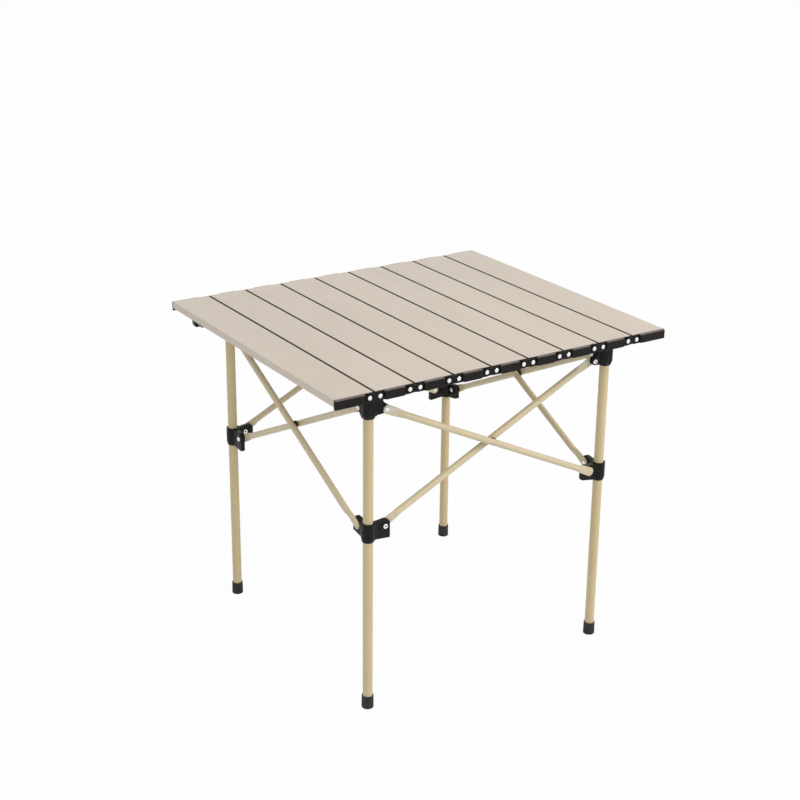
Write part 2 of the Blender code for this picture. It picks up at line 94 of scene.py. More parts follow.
# Places worked out from the sizes
pitch = (top_width + seam_gap) / slat_count
slat_half = (pitch - seam_gap) / 2
slat_half_length = top_depth / 2 - cap_face - fit_gap
link_back = top_depth / 2 - cap_recess_depth + fit_gap
link_front = link_back + link_thickness
under_slats = table_height - slat_height - fit_gap
tube_offset = bar_radius + crossing_gap / 2
flat_offset = lug_half + fit_gap + bar_flat_half_thickness
pivot_span = 2 * corner - start_offset - end_offset
pivot_fall = top_pivot_height - sleeve_pivot_height
bar_half = math.hypot(pivot_span, pivot_fall) / 2
bar_angle = math.atan2(pivot_fall, pivot_span)
crossing_along = start_offset + pivot_span / 2 - corner
crossing_height = (top_pivot_height + sleeve_pivot_height) / 2

side_names = ("front", "right", "back", "left")
corner_names = ("front_left", "front_right", "back_right", "back_left")
corner_signs = ((-1, -1), (1, -1), (1, 1), (-1, 1))
upright = Matrix.Rotation(math.pi / 2, 4, "X")
back_mirror = Matrix.Scale(-1, 4, (0, 1, 0))


# Shapes are (points, faces) pairs until they become meshes

def quarter(steps):
    """Sine and cosine at even steps of a quarter turn."""
    angles = [math.pi / 2 * step / steps for step in range(steps + 1)]
    return [(math.sin(angle), math.cos(angle)) for angle in angles]


def smooth(share):
    """Share from 0 to 1 that starts and ends gently."""
    return share * share * (3 - 2 * share)


def loft(rings):
    """Skin rings of as many points each, and close both ends."""
    count = len(rings[0])
    points = [point for ring in rings for point in ring]
    faces = []
    for row in range(len(rings) - 1):
        for index in range(count):
            low = row * count + index
            next_low = row * count + (index + 1) % count
            faces.append((low, next_low, next_low + count, low + count))
    faces.append(tuple(reversed(range(count))))
    faces.append(tuple(range(len(points) - count, len(points))))
    return points, faces


def revolve(profile, sides=40, closed=False):
    """Turn (radius, height) points round Z. A point on the axis becomes one vertex."""
    points = []
    rings = []
    for radius, height in profile:
        if radius == 0:
            rings.append([len(points)] * sides)
            points.append((0, 0, height))
            continue
        rings.append(list(range(len(points), len(points) + sides)))
        for step in range(sides):
            angle = math.tau * step / sides
            points.append((radius * math.cos(angle), radius * math.sin(angle), height))
    pairs = list(zip(rings, rings[1:]))
    if closed:
        pairs.append((rings[-1], rings[0]))
    faces = []
    for first, second in pairs:
        for index in range(sides):
            after = (index + 1) % sides
            corners = [first[index], first[after], second[after], second[index]]
            faces.append(tuple(dict.fromkeys(corners)))
    return points, [face for face in faces if len(face) > 2]


def moved(shape, matrix):
    """Shape carried by a matrix."""
    points, faces = shape
    return [tuple(matrix @ Vector(point)) for point in points], faces


def on_y(shape):
    """Shape along +X turned to run along +Y."""
    return moved(shape, Matrix.Rotation(math.pi / 2, 4, "Z"))


def facing(shape, direction):
    """Shape that points along +Z turned to point along +Y (1) or -Y (-1)."""
    return moved(shape, Matrix.Rotation(-direction * math.pi / 2, 4, "X"))


def rounded(corners, steps=4):
    """Outline through (x, y, radius) corners, each rounded by its own arc."""
    points = []
    for index, (x, y, radius) in enumerate(corners):
        here = Vector((x, y))
        if radius == 0:
            points.append(here)
            continue
        before = (Vector(corners[index - 1][:2]) - here).normalized()
        after = (Vector(corners[(index + 1) % len(corners)][:2]) - here).normalized()
        half = before.angle(after) / 2
        centre = here + (before + after).normalized() * (radius / math.sin(half))
        first = here + before * (radius / math.tan(half)) - centre
        last = here + after * (radius / math.tan(half)) - centre
        start = math.atan2(first.y, first.x)
        turn = (math.atan2(last.y, last.x) - start + math.pi) % math.tau - math.pi
        for step in range(steps + 1):
            angle = start + turn * step / steps
            points.append(centre + radius * Vector((math.cos(angle), math.sin(angle))))
    return points


def rounded_block(left, right, low, high, radius, steps=3):
    """Outline of a rectangle whose four corners have the same radius."""
    return rounded([(left, low, radius), (right, low, radius),
                    (right, high, radius), (left, high, radius)], steps)


def inward(outline):
    """Vector at each outline point that moves both of its edges in by one unit."""
    area = sum(a.x * b.y - b.x * a.y for a, b in zip(outline, outline[1:] + outline[:1]))
    sign = 1 if area > 0 else -1
    vectors = []
    for index, here in enumerate(outline):
        first = (here - outline[index - 1]).normalized()
        second = (outline[(index + 1) % len(outline)] - here).normalized()
        first_normal = Vector((-first.y, first.x)) * sign
        second_normal = Vector((-second.y, second.x)) * sign
        reach = 1 + first_normal.dot(second_normal)
        vectors.append((first_normal + second_normal) / reach)
    return vectors


def inset_ring(outline, inset, height):
    """Ring of 3-D points: an outline at one height, moved in by an inset."""
    return [(point.x + vector.x * inset, point.y + vector.y * inset, height)
            for point, vector in zip(outline, inward(outline))]


def slab(outline, low, high, round_low=0.0, round_high=0.0):
    """Outline extruded between two levels, with rounded rims."""
    rings = []
    for level, radius, direction in ((low, round_low, 1), (high, round_high, -1)):
        stations = quarter(3) if radius else [(1, 0)]
        for sine, cosine in stations[::direction]:
            height = level + direction * radius * (1 - cosine)
            rings.append(inset_ring(outline, radius * (1 - sine), height))
    return loft(rings)


def box(low, high, radius):
    """Block between two corners with rounded edges."""
    outline = rounded_block(low[0], high[0], low[1], high[1], radius)
    return slab(outline, low[2], high[2], radius, radius)


def outward(shape):
    """Shape with its faces turned out."""
    points, faces = shape
    vectors = [Vector(point) for point in points]
    volume = 0.0
    for face in faces:
        for second, third in zip(face[1:], face[2:]):
            volume += vectors[face[0]].dot(vectors[second].cross(vectors[third]))
    return points, faces if volume > 0 else [tuple(reversed(face)) for face in faces]


def mesh_of(shapes, name):
    """One mesh of closed shapes."""
    points, faces = [], []
    for shape_points, shape_faces in map(outward, shapes):
        faces += [tuple(index + len(points) for index in face) for face in shape_faces]
        points += shape_points
    mesh = bpy.data.meshes.new(name)
    mesh.from_pydata(points, [], faces)
    return mesh


def fused(shapes, name):
    """Mesh of shapes joined into one skin."""
    target = bpy.data.objects.new(name, mesh_of(shapes[:1], name))
    bpy.context.collection.objects.link(target)
    helpers = []
    for shape in shapes[1:]:
        helper = bpy.data.objects.new("helper", mesh_of([shape], "helper"))
        bpy.context.collection.objects.link(helper)
        helpers.append(helper)
        modifier = target.modifiers.new("union", "BOOLEAN")
        modifier.operation = "UNION"
        modifier.solver = "MANIFOLD"
        modifier.object = helper
    graph = bpy.context.evaluated_depsgraph_get()
    mesh = bpy.data.meshes.new_from_object(target.evaluated_get(graph))
    mesh.name = name
    for item in helpers + [target]:
        bpy.data.objects.remove(item, do_unlink=True)
    return mesh


def piece(name, mesh, finish, body, nodes=(), matrix=None, crease=50):
    """Add one visible piece that rides on a CAD body and stands for CAD nodes.

    Edges that bend by more than the crease, in degrees, stay sharp.
    """
    mesh = mesh.copy()
    mesh.name = name
    if matrix is not None:
        mesh.transform(matrix)
        if matrix.determinant() < 0:
            mesh.flip_normals()
    mesh.shade_smooth()
    mesh.set_sharp_from_angle(angle=math.radians(crease))
    mesh.materials.clear()
    mesh.materials.append(finish)
    item = bpy.data.objects.new(name, mesh)
    bpy.context.scene.collection.objects.link(item)
    weighted = item.modifiers.new("weighted_normals", "WEIGHTED_NORMAL")
    weighted.keep_sharp = True
    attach(item, body)
    if nodes:
        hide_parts(*nodes)
    return item


# Finishes

def shaded(colour, factor):
    """Colour made lighter or darker."""
    return tuple(value * factor for value in colour)


class Finish:
    """Material under construction, with short calls for the nodes it needs."""

    def __init__(self, name, roughness, metallic=0.0, specular=0.5):
        self.material = bpy.data.materials.new(name)
        self.material.use_nodes = True
        self.tree = self.material.node_tree
        self.shader = self.tree.nodes["Principled BSDF"]
        self.shader.inputs["Roughness"].default_value = roughness
        self.shader.inputs["Metallic"].default_value = metallic
        self.shader.inputs["Specular IOR Level"].default_value = specular
        coordinates = self.tree.nodes.new("ShaderNodeTexCoord")
        self.place = coordinates.outputs["Object"]
        self.facing = coordinates.outputs["Normal"]

    def link(self, source, target):
        """Join an output to an input."""
        self.tree.links.new(source, target)

    def noise(self, scale, detail):
        """Noise with its own scale along each axis, in cycles per metre."""
        stretch = self.tree.nodes.new("ShaderNodeMapping")
        stretch.inputs["Scale"].default_value = scale
        texture = self.tree.nodes.new("ShaderNodeTexNoise")
        texture.inputs["Scale"].default_value = 1
        texture.inputs["Detail"].default_value = detail
        self.link(self.place, stretch.inputs["Vector"])
        self.link(stretch.outputs["Vector"], texture.inputs["Vector"])
        return texture.outputs["Fac"]

    def ramp(self, source, stops):
        """Colours at places from 0 to 1."""
        node = self.tree.nodes.new("ShaderNodeValToRGB")
        for element, (place, colour) in zip(node.color_ramp.elements, stops):
            element.position = place
            element.color = (*colour, 1)
        self.link(source, node.inputs["Fac"])
        return node.outputs["Color"]

    def mix(self, first, second, share, blend="MIX"):
        """Mix of two colours. Its sockets go by index, because their names repeat."""
        node = self.tree.nodes.new("ShaderNodeMix")
        node.data_type = "RGBA"
        node.blend_type = blend
        for index, value in ((6, first), (7, second), (0, share)):
            socket = node.inputs[index]
            if isinstance(value, bpy.types.NodeSocket):
                self.link(value, socket)
            else:
                socket.default_value = (*value, 1) if isinstance(value, tuple) else value
        return node.outputs[2]

    def remap(self, source, low, high, source_low=0.3, source_high=0.7):
        """Source stretched to run from low to high."""
        node = self.tree.nodes.new("ShaderNodeMapRange")
        limits = {"From Min": source_low, "From Max": source_high, "To Min": low, "To Max": high}
        for name, value in limits.items():
            node.inputs[name].default_value = value
        self.link(source, node.inputs["Value"])
        return node.outputs["Result"]

    def axis(self, vector, name):
        """One coordinate of a vector."""
        node = self.tree.nodes.new("ShaderNodeSeparateXYZ")
        self.link(vector, node.inputs[0])
        return node.outputs[name]

    def calculate(self, operation, first, second=None):
        """One value worked out from one or two others."""
        node = self.tree.nodes.new("ShaderNodeMath")
        node.operation = operation
        self.link(first, node.inputs[0])
        if isinstance(second, bpy.types.NodeSocket):
            self.link(second, node.inputs[1])
        elif second is not None:
            node.inputs[1].default_value = second
        return node.outputs[0]

    def bump(self, source, distance, strength, below=None):
        """Bump of a real height in metres, on top of another one if given."""
        node = self.tree.nodes.new("ShaderNodeBump")
        node.inputs["Strength"].default_value = strength
        node.inputs["Distance"].default_value = distance
        self.link(source, node.inputs["Height"])
        if below:
            self.link(below, node.inputs["Normal"])
        return node.outputs["Normal"]

    def painted_seam_shade_mask(self):
        """1 on the slat walls that face a seam, from just below the top edge down, where painted
        shade darkens the seams.
        """
        fade_start = table_height - 0.00002
        fade_end = table_height - 0.00030
        x = self.axis(self.place, "X")
        turned = self.calculate("ABSOLUTE", self.axis(self.facing, "X"))
        sideways = self.remap(turned, 0, 1, source_low=0.15, source_high=0.45)
        inner = self.calculate("LESS_THAN", self.calculate("ABSOLUTE", x),
                               top_width / 2 - seam_gap)
        deep = self.remap(self.axis(self.place, "Z"), 1, 0, fade_end, fade_start)
        return self.calculate("MULTIPLY", self.calculate("MULTIPLY", sideways, inner), deep)

    def painted_end_highlight_mask(self, share):
        """The share of painted highlight on the upper pressed ends of the bars, fading out below
        them.
        """
        fade_start = top_pivot_height - 0.003
        fade_end = top_pivot_height - 0.011
        return self.remap(self.axis(self.place, "Z"), 0, share, fade_end, fade_start)

    def use(self, colour, roughness, normal):
        """Connect the shader and give the material back."""
        for name, source in (("Base Color", colour), ("Roughness", roughness), ("Normal", normal)):
            if source:
                self.link(source, self.shader.inputs[name])
        return self.material


def coated_metal(name, colour, roughness, streak, painted_seam_shade=None, painted_end_highlight=None):
    """Satin powder coat: soft drifts of tone, fine drawing streaks and orange peel.

    The painted seam shade darkens the slat walls that face a seam, where shade falls between
    slats, and the painted end highlight pales the bars' pressed ends, as if they catch more light.
    """
    drift = 0.03
    smoothest, roughest = roughness - 0.05, roughness + 0.06
    finish = Finish(name, roughness)
    tone = finish.ramp(finish.noise(scale=(9, 3, 9), detail=2),
                       [(0.3, shaded(colour, 1 - drift)), (0.7, shaded(colour, 1 + drift))])
    streaks = finish.ramp(finish.noise(scale=streak, detail=2),
                          [(0.35, (0.97, 0.965, 0.955)), (0.65, (1, 1, 1))])
    tone = finish.mix(tone, streaks, 1.0, "MULTIPLY")
    # Painted shade: the slat walls that face a seam take on the dark seam colour.
    if painted_seam_shade:
        tone = finish.mix(tone, painted_seam_shade, finish.painted_seam_shade_mask())
    # Painted highlight: the bars' upper pressed ends are paled, as if they catch more light.
    if painted_end_highlight:
        tone = finish.mix(tone, painted_end_highlight, finish.painted_end_highlight_mask(share=0.6))
    peel = finish.noise(scale=(900, 900, 900), detail=2)
    gloss = finish.remap(finish.noise(scale=(40, 14, 40), detail=3), smoothest, roughest)
    return finish.use(tone, gloss, finish.bump(peel, distance=0.00003, strength=0.6))


def moulded_plastic(name, colour, roughness, grain, painted_top_highlight=None):
    """Black plastic, rubber or paint with a fine grain and faint flow marks.

    Where a painted top highlight colour is given, faces that look up take it on, as a painted
    highlight from the light above.
    """
    smoothest, roughest = roughness - 0.07, roughness + 0.08
    finish = Finish(name, roughness, specular=0.17)
    tone = finish.ramp(finish.noise(scale=(60, 60, 60), detail=4),
                       [(0.3, shaded(colour, 0.75)), (0.7, shaded(colour, 1.3))])
    # Painted highlight: faces that look up are lightened towards the highlight colour.
    if painted_top_highlight:
        top_highlight_share = finish.remap(finish.axis(finish.facing, "Z"), 0, 1,
                              source_low=0.25, source_high=0.90)
        tone = finish.mix(tone, painted_top_highlight, top_highlight_share)
    gloss = finish.remap(finish.noise(scale=(220, 220, 220), detail=3), smoothest, roughest)
    eroded = finish.noise(scale=(1500, 1500, 1500), detail=2)
    return finish.use(tone, gloss, finish.bump(eroded, distance=grain, strength=0.7))


def woven_strap(name, colour):
    """Flat webbing with ribs across it and a fine weave."""
    finish = Finish(name, roughness=0.85)
    waves = finish.tree.nodes.new("ShaderNodeTexWave")
    waves.bands_direction = "Y"
    waves.inputs["Scale"].default_value = 180
    waves.inputs["Distortion"].default_value = 0.6
    finish.link(finish.place, waves.inputs["Vector"])
    ribs = waves.outputs["Fac"]
    weave = finish.noise(scale=(2500, 1200, 2500), detail=2)
    rib_tone = finish.ramp(ribs, [(0.2, shaded(colour, 0.7)), (0.8, colour)])
    weave_tone = finish.ramp(weave, [(0.3, (0.8, 0.8, 0.8)), (0.7, (1, 1, 1))])
    tone = finish.mix(rib_tone, weave_tone, 1.0, "MULTIPLY")
    relief = finish.bump(ribs, distance=0.0003, strength=0.8)
    relief = finish.bump(weave, distance=0.0001, strength=0.5, below=relief)
    return finish.use(tone, None, relief)


def bright_metal(name):
    """Zinc-plated steel of the rivets."""
    finish = Finish(name, roughness=0.3, metallic=1.0)
    tone = finish.ramp(finish.noise(scale=(700, 700, 700), detail=3),
                       [(0.3, (0.80, 0.80, 0.79)), (0.7, (0.93, 0.93, 0.92))])
    gloss = finish.remap(finish.noise(scale=(1200, 1200, 1200), detail=2), low=0.22, high=0.42)
    dimples = finish.noise(scale=(900, 900, 900), detail=2)
    return finish.use(tone, gloss, finish.bump(dimples, distance=0.00002, strength=0.5))


# The slats' powder coat carries painted seam shade on the walls between slats.
slat_paint = coated_metal("slat_coat_painted_seam_shade", (0.735, 0.632, 0.512), roughness=0.42,
                          streak=(260, 2.5, 260), painted_seam_shade=(0.125, 0.082, 0.036))
tube_paint = coated_metal("tube_powder_coat", (0.715, 0.580, 0.322), roughness=0.38,
                          streak=(220, 220, 6))
# The bars' powder coat carries a painted highlight on their upper pressed ends.
bar_paint = coated_metal("bar_coat_painted_end_highlight", (0.745, 0.630, 0.412), roughness=0.31,
                         streak=(120, 120, 120), painted_end_highlight=(0.80, 0.81, 0.72))
bracket_plastic = moulded_plastic("bracket_plastic", (0.0075, 0.0068, 0.0062),
                                  roughness=0.36, grain=0.00004)
# The caps' plastic carries a painted highlight on faces that look up, and the strap clip shares
# it.
cap_plastic = moulded_plastic("cap_plastic", (0.0080, 0.0066, 0.0062),
                              roughness=0.30, grain=0.00003, painted_top_highlight=(0.22, 0.17, 0.16))
washer_plastic = moulded_plastic("washer_plastic", (0.040, 0.024, 0.011),
                                 roughness=0.45, grain=0.00003)
link_paint = moulded_plastic("link_black_paint", (0.0060, 0.0058, 0.0056),
                             roughness=0.32, grain=0.00002)
foot_rubber = moulded_plastic("foot_rubber", (0.040, 0.040, 0.038),
                              roughness=0.72, grain=0.00008)
rivet_metal = bright_metal("rivet_zinc")
strap_weave = woven_strap("strap_weave", (0.52, 0.40, 0.36))


# Rivets, which frame and top share

def dome(radius, height, rim=0.0003):
    """Domed rivet head that stands up from Z = 0, with its underside just below."""
    profile = [(0, -sink), (radius - sink, -sink), (radius, 0), (radius, rim)]
    for sine, cosine in quarter(6)[1:-1]:
        profile.append((radius * cosine, rim + (height - rim) * sine))
    profile.append((0, height))
    return revolve(profile, rivet_sides)


def tail(radius, height, hole):
    """Rolled end of a tubular rivet, a ring round a hole that shows the dark lug."""
    crest = radius * 0.72
    roll = [(radius - 0.0001, 0.35), (radius * 0.88, 0.8), (crest, 1),
            ((crest + hole) / 2, 0.97), (hole * 1.15, 0.75), (hole, 0.4)]
    profile = [(hole, -sink), (radius - sink, -sink), (radius, 0)]
    profile += [(place, height * share) for place, share in roll]
    return revolve(profile, rivet_sides, closed=True)


# Frame

def corner_matrix(index, height):
    """Place and turn of whatever sits on a leg."""
    sign_x, sign_y = corner_signs[index]
    place = Matrix.Translation((sign_x * corner, sign_y * corner, height))
    return place @ Matrix.Rotation(index * math.pi / 2, 4, "Z")


def leg_shape():
    """Leg tube with eased rims."""
    low = foot_floor + fit_gap
    high = under_slats - hub_roof - fit_gap
    inner = leg_radius - leg_wall
    ease = 0.0003
    profile = [(inner, low), (leg_radius - ease, low), (leg_radius, low + ease),
               (leg_radius, high - ease), (leg_radius - ease, high), (inner, high)]
    return revolve(profile, round_sides, closed=True)


def foot_shape():
    """Rubber cup with a rolled rim, a slight flare and a groove in its rounded sole."""
    socket = leg_radius + fit_gap
    rim = 0.0004
    rim_radius = 0.0103
    flare, flare_start, flare_end = 0.0002, 0.017, 0.008
    sole = 0.0014
    groove_outer, groove_inner = 0.0072, 0.0036
    groove_slope, groove_depth = 0.0004, 0.0005
    profile = [(0, foot_floor), (socket, foot_floor), (socket, foot_height - rim),
               (socket + rim, foot_height)]
    for sine, cosine in quarter(4):
        profile.append((rim_radius + rim * sine, foot_height - rim * (1 - cosine)))
    profile += [(foot_radius - flare, flare_start), (foot_radius, flare_end)]
    for sine, cosine in quarter(5):
        profile.append((foot_radius - sole + sole * cosine, sole - sole * sine))
    profile += [(groove_outer, 0), (groove_outer - groove_slope, groove_depth),
                (groove_inner + groove_slope, groove_depth), (groove_inner, 0), (0, 0)]
    return revolve(profile, round_sides)


def arm(reach, low, high, corner_low, corner_high, root, root_low, root_high, fillet,
        body_radius=0.0, shoulder=0.0):
    """Lug along +X that grows out of the body round the leg with a fillet on both sides.

    It runs from the root to the reach. Low and high are how far it goes below and above
    the pivot at its end, where the corner radii round it, and root_low and root_high are
    the same at the root. The upper edge keeps the root's height as far as the shoulder,
    and then slopes to the end. A body radius makes the fillet tangent to a round body and
    moves the root there.
    """
    edge = 0.0009
    arc_steps, straight_steps = 7, 8
    hump = reach - corner_high
    centre = root + fillet
    if body_radius:
        centre = math.sqrt((body_radius + fillet) ** 2 - (lug_half + fillet) ** 2)
        root = centre * body_radius / (body_radius + fillet)
    slope_start = max(centre, shoulder)
    stations = [root + (centre - root) * step / arc_steps for step in range(arc_steps + 1)]
    stations += [centre + (hump - centre) * (step + 1) / straight_steps
                 for step in range(straight_steps)]
    for radius in (corner_low, corner_high, edge):
        stations += [reach - radius * (1 - sine) for sine, _ in quarter(arc_steps)[1:]]
    rings = []
    for along in sorted(set(round(value, 7) for value in stations)):
        past_low = max(0.0, along - reach + corner_low)
        past_high = max(0.0, along - hump)
        past_edge = max(0.0, along - reach + edge)
        before = max(0.0, centre - along)
        rise = smooth(min(1.0, max(0.0, (along - slope_start) / (hump - slope_start))))
        fall = min(1.0, (along - root) / (reach - root))
        under = -(root_low + (low - root_low) * fall)
        under += corner_low - math.sqrt(max(0.0, corner_low ** 2 - past_low ** 2))
        over = root_high + (high - root_high) * rise
        over -= corner_high - math.sqrt(max(0.0, corner_high ** 2 - past_high ** 2))
        half = lug_half + fillet - math.sqrt(max(0.0, fillet ** 2 - before ** 2))
        half -= edge - math.sqrt(max(0.0, edge ** 2 - past_edge ** 2))
        radius = min(edge, half * 0.98, (over - under) * 0.49)
        section = rounded_block(-half, half, under, over, radius)
        rings.append([(along, across, up) for across, up in section])
    return loft(rings)


def bracket_mesh():
    """Corner bracket: eight-sided block with a tapered neck and two round lugs."""
    top = under_slats - top_pivot_height
    bottom = -0.011
    bore_depth = 0.012
    corner_radius = 0.0014
    ease = 0.0008
    taper_start, taper_end, taper_round = 0.0072, 0.0088, 0.0006
    past_pivot, shoulder_before_pivot = 0.0065, 0.0080

    def ring(half, height, inset=0.0):
        near = half - hub_cut * half / hub_half
        corners = [(half, -near), (half, near), (near, half), (-near, half),
                   (-half, near), (-half, -near), (-near, -half), (near, -half)]
        outline = rounded([(x, y, corner_radius) for x, y in corners], 3)
        return inset_ring(outline, inset, height)

    def bore(height):
        radius = leg_radius + fit_gap
        return [(*(Vector((x, y)).normalized() * radius), height)
                for x, y, _ in ring(hub_half, 0)]

    rings = [bore(bottom + bore_depth), bore(bottom)]
    rings += [ring(hub_neck_half, bottom, ease * 0.7), ring(hub_neck_half, bottom + ease)]
    rings += [ring(hub_half - taper_round, bottom + taper_start),
              ring(hub_half, bottom + taper_end)]
    for sine, cosine in quarter(3):
        rings.append(ring(hub_half, top - ease * (1 - sine), ease * (1 - cosine)))
    lugs = []
    for pivot in (start_offset, end_offset):
        lugs.append(arm(reach=pivot + past_pivot, low=0.0066, high=0.0086, corner_low=0.0056,
                        corner_high=0.0065, root=0.0115, root_low=0.0085, root_high=0.0180,
                        fillet=0.004, shoulder=pivot - shoulder_before_pivot))
    return fused([loft(rings), lugs[0], on_y(lugs[1])], "corner_bracket")


def sleeve_mesh():
    """Sliding sleeve: round barrel with a tapered neck and two tall lugs."""
    bore, outer, neck = 0.0095, 0.0125, 0.0110
    low, high = -0.0220, 0.0135
    rim, bore_rim = 0.0006, 0.0005
    taper_start, taper_end, taper_round = 0.0062, 0.0076, 0.0004
    upper_rim = ((0, 0.0008), (0.0003, 0.0002), (0.0009, 0))
    profile = [(bore, low + bore_rim), (bore + bore_rim, low), (neck - rim, low),
               (neck, low + rim), (outer - taper_round, low + taper_start),
               (outer, low + taper_end)]
    profile += [(outer - inset, high - drop) for inset, drop in upper_rim]
    profile += [(bore + rim, high), (bore, high - rim)]
    barrel = revolve(profile, round_sides, closed=True)

    def lug(low, corner_low):
        return arm(reach=0.0425, low=low, high=0.0134, corner_low=corner_low,
                   corner_high=0.0085, root=0, root_low=0.0205, root_high=0.0118,
                   fillet=0.008, body_radius=outer)

    inner_lug = lug(low=0.0232, corner_low=0.0014)
    outer_lug = lug(low=0.0152, corner_low=0.0025)
    return fused([barrel, inner_lug, on_y(outer_lug)], "sliding_sleeve")


def bar_section(flatness, half_width):
    """Ring of (across, up) points, from a round tube (0) to a pressed flat one (1)."""
    sides = 32
    squareness = 2.6
    ring = []
    for step in range(sides):
        angle = math.tau * (step + 0.5) / sides
        pressed = max(-1.0, min(1.0, squareness * math.cos(angle))) * bar_flat_half_thickness
        across = bar_tube_radius * math.cos(angle) * (1 - flatness) + pressed * flatness
        up = bar_tube_radius * (1 - flatness) + half_width * flatness
        ring.append((across, up * math.sin(angle)))
    return ring


def bar_mesh():
    """Scissor bar along X: round tube whose ends are pressed flat and rounded."""
    shift = tube_offset - flat_offset
    flat_length, flat_straight, press_length = 0.022, 0.008, 0.018
    straight_taper, press_taper = 0.0003, 0.0008
    last_angle = math.radians(84)
    end_steps, press_steps = 8, 10
    flat_start = bar_half - flat_length
    stations = []
    for step in range(end_steps + 1):
        angle = last_angle * (end_steps - step) / end_steps
        stations.append((bar_half + bar_end_reach * math.sin(angle), 1.0,
                         bar_flat_half_width * math.cos(angle)))
    stations.append((flat_start + flat_straight, 1.0, bar_flat_half_width - straight_taper))
    for step in range(press_steps + 1):
        stations.append((flat_start - press_length * step / press_steps,
                         smooth(1 - step / press_steps), bar_flat_half_width - press_taper))
    rings = []
    for side in (1, -1):
        row = [[(side * place, across + shift * flatness, up)
                for across, up in bar_section(flatness, half_width)]
               for place, flatness, half_width in stations]
        rings += row[::side]
    return mesh_of([loft(rings)], "scissor_bar")


def bar_matrix(side, outer):
    """Place of a bar, whose own +Y points at the plane of the lugs."""
    sign = 1 if outer else -1
    local = Vector((crossing_along, -corner - sign * tube_offset, crossing_height))
    around = Matrix.Rotation(side * math.pi / 2, 4, "Z")
    turn = around @ Matrix.Rotation(sign * bar_angle, 4, "Y")
    if not outer:
        turn = turn @ Matrix.Rotation(math.pi, 4, "X")
    return Matrix.Translation(around @ local) @ turn


def bar_rivets(outer):
    """Rivet ends of a bar, as (metal shapes, painted shapes).

    The head at the lower end of an outer bar is painted over, and so is the centre rivet.
    """
    near = tube_offset - flat_offset - bar_flat_half_thickness
    far = tube_offset + lug_half
    centre_sink = 0.0003
    metal, painted = [], []
    for end in (-1, 1):
        at_near = Matrix.Translation((end * bar_half, near, 0))
        at_far = Matrix.Translation((end * bar_half, far, 0))
        if outer and end == 1:
            painted.append(moved(facing(dome(radius=0.0042, height=0.0009), -1), at_near))
        else:
            metal.append(moved(facing(dome(radius=0.0038, height=0.0017), -1), at_near))
        rolled = tail(radius=0.0047, height=0.0015, hole=0.0016)
        metal.append(moved(facing(rolled, 1), at_far))
    at_centre = Matrix.Translation((0, centre_sink - bar_tube_radius, 0))
    painted.append(moved(facing(dome(radius=0.0036, height=0.0012), -1), at_centre))
    return metal, painted


def washer_shape():
    """Black saddle washer between the crossed bars, hugging the outer one."""
    low, high, radius = 0.0022, bar_radius + crossing_gap - fit_gap, 0.0068
    low_ease, high_ease = 0.0008, 0.0006
    profile = [(0, low), (radius - low_ease, low), (radius, low + low_ease),
               (radius, high - high_ease), (radius - high_ease, high), (0, high)]
    return facing(revolve(profile), 1)


leg_mesh = mesh_of([leg_shape()], "leg")
foot_mesh = mesh_of([foot_shape()], "foot")
corner_bracket = bracket_mesh()
sliding_sleeve = sleeve_mesh()
for index, name in enumerate(corner_names):
    leg_body = name + "_leg"
    at_floor = corner_matrix(index, 0)
    piece("leg_tube_" + name, leg_mesh, tube_paint, leg_body,
          ["leg_" + name], at_floor)
    piece("rubber_foot_" + name, foot_mesh, foot_rubber, leg_body,
          ["foot_" + name], at_floor)
    piece("corner_bracket_" + name, corner_bracket, bracket_plastic, leg_body,
          ["top_bracket_" + name], corner_matrix(index, top_pivot_height), crease=40)
    piece("slider_" + name, sliding_sleeve, bracket_plastic, name + "_sleeve",
          ["sliding_sleeve_" + name], corner_matrix(index, sleeve_pivot_height), crease=40)

bar = bar_mesh()
for side, side_name in enumerate(side_names):
    for outer in (True, False):
        body = side_name + ("_outer_bar" if outer else "_inner_bar")
        matrix = bar_matrix(side, outer)
        metal, painted = bar_rivets(outer)
        piece("tube_" + body, bar, bar_paint, body, [body], matrix)
        piece("rivets_" + body, mesh_of(metal, "rivets"), rivet_metal, body,
              matrix=matrix)
        piece("painted_rivets_" + body, mesh_of(painted, "rivets"), bar_paint, body,
              matrix=matrix)
        if outer:
            piece("crossing_washer_" + side_name, mesh_of([washer_shape()], "washer"),
                  washer_plastic, body, matrix=matrix)


# Top

def slat_shape():
    """Channel slat with eased bends, its top face at Z = 0."""
    bend, lip_edge, inner_bend = 0.0013, 0.0004, 0.0003
    lip_top = slat_wall - slat_height
    lip_end = slat_half - slat_lip
    inner = slat_half - slat_wall
    right = [(slat_half, 0, bend), (slat_half, -slat_height, bend),
             (lip_end, -slat_height, lip_edge), (lip_end, lip_top, lip_edge),
             (inner, lip_top, inner_bend), (inner, -slat_wall, inner_bend)]
    left = [(-x, z, radius) for x, z, radius in reversed(right)]
    return moved(slab(rounded(right + left), -slat_half_length, slat_half_length), upright)


def proud_bar(ends, low, top, back, face):
    """Bar across the cap face between two (place, is_linked) ends, its upper edge well rounded."""
    round_depth, low_rise, top_drop = 0.0034, 0.0012, 0.0032
    linked_inset, free_inset = 0.0016, 0.0009
    linked_radius, free_radius = 0.0044, 0.0012
    radius_loss = 0.7
    stations = [(0, back)]
    stations += [(1 - cosine, face - round_depth * (1 - sine)) for sine, cosine in quarter(6)]
    rings = []
    for share, depth in stations:
        corners = []
        for side, (place, is_linked) in zip((-1, 1), ends):
            inset = (linked_inset if is_linked else free_inset) * share
            radius = (linked_radius if is_linked else free_radius) - radius_loss * inset
            x = place - side * inset
            corners += [(x, low + low_rise * share, radius), (x, top - top_drop * share, radius)]
        bottom_left, top_left, bottom_right, top_right = corners
        outline = rounded([bottom_left, bottom_right, top_right, top_left], 6)
        rings.append([(point.x, point.y, depth) for point in outline])
    return loft(rings)


